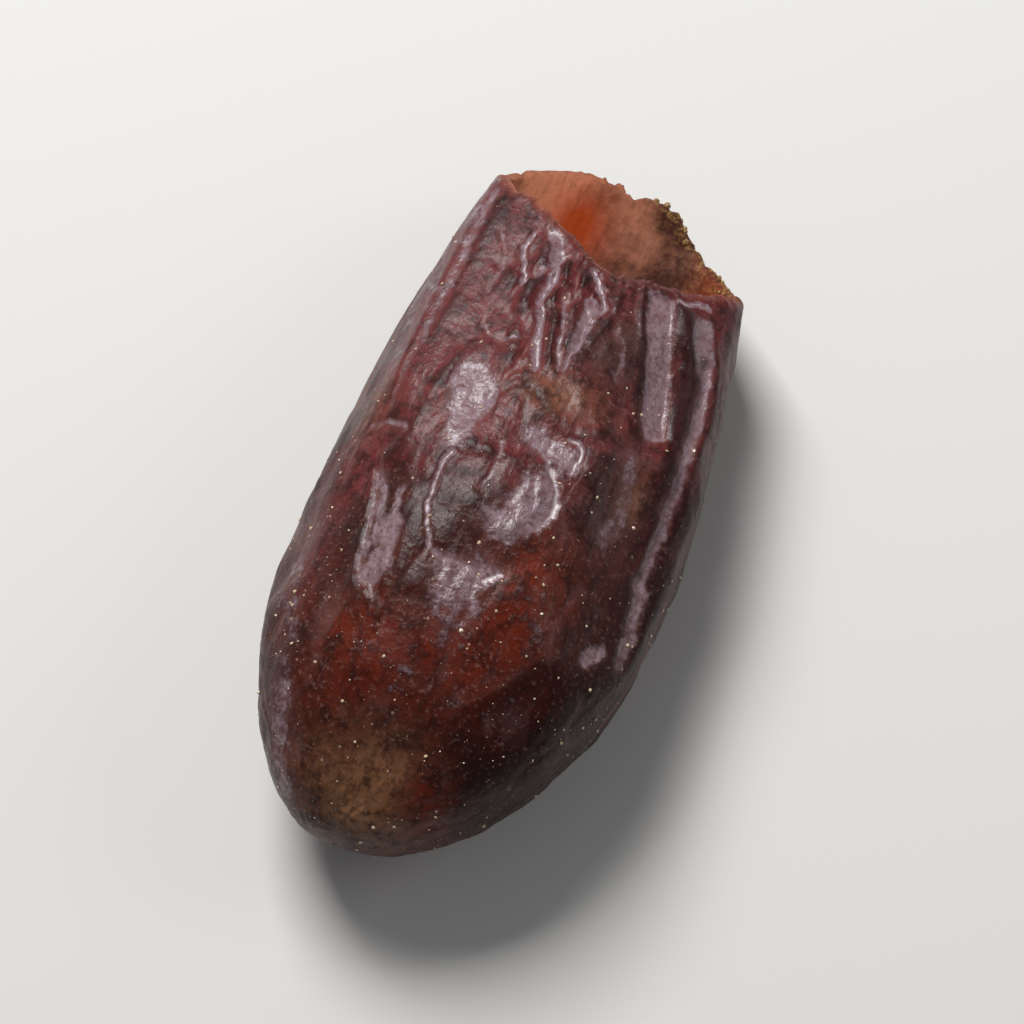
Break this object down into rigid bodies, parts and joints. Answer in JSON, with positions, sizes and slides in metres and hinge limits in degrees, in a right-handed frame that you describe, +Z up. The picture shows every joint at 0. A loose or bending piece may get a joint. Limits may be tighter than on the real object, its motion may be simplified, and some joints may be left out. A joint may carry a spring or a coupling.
{
  "type": "pitted date",
  "caption": "Whole dried date with its stone pushed out: a wrinkled oval fruit lying on its broad side, open at one end to the hollow that the stone left.",
  "frame": {"origin": "on the surface it lies on, under the middle of the fruit's bounding box", "axes": "+Y along the fruit from its rounded tip to its open mouth, +Z up through its broad upper face, +X to the right"},
  "size_m": [0.02, 0.04, 0.014],
  "materials": {
    "date_skin": "satin, dark red-brown dried skin, thin and slightly glossy, orange-brown flesh inside the mouth"
  },
  "bodies": {
    "root": {"date": "date_skin"}
  },
  "joints": []
}
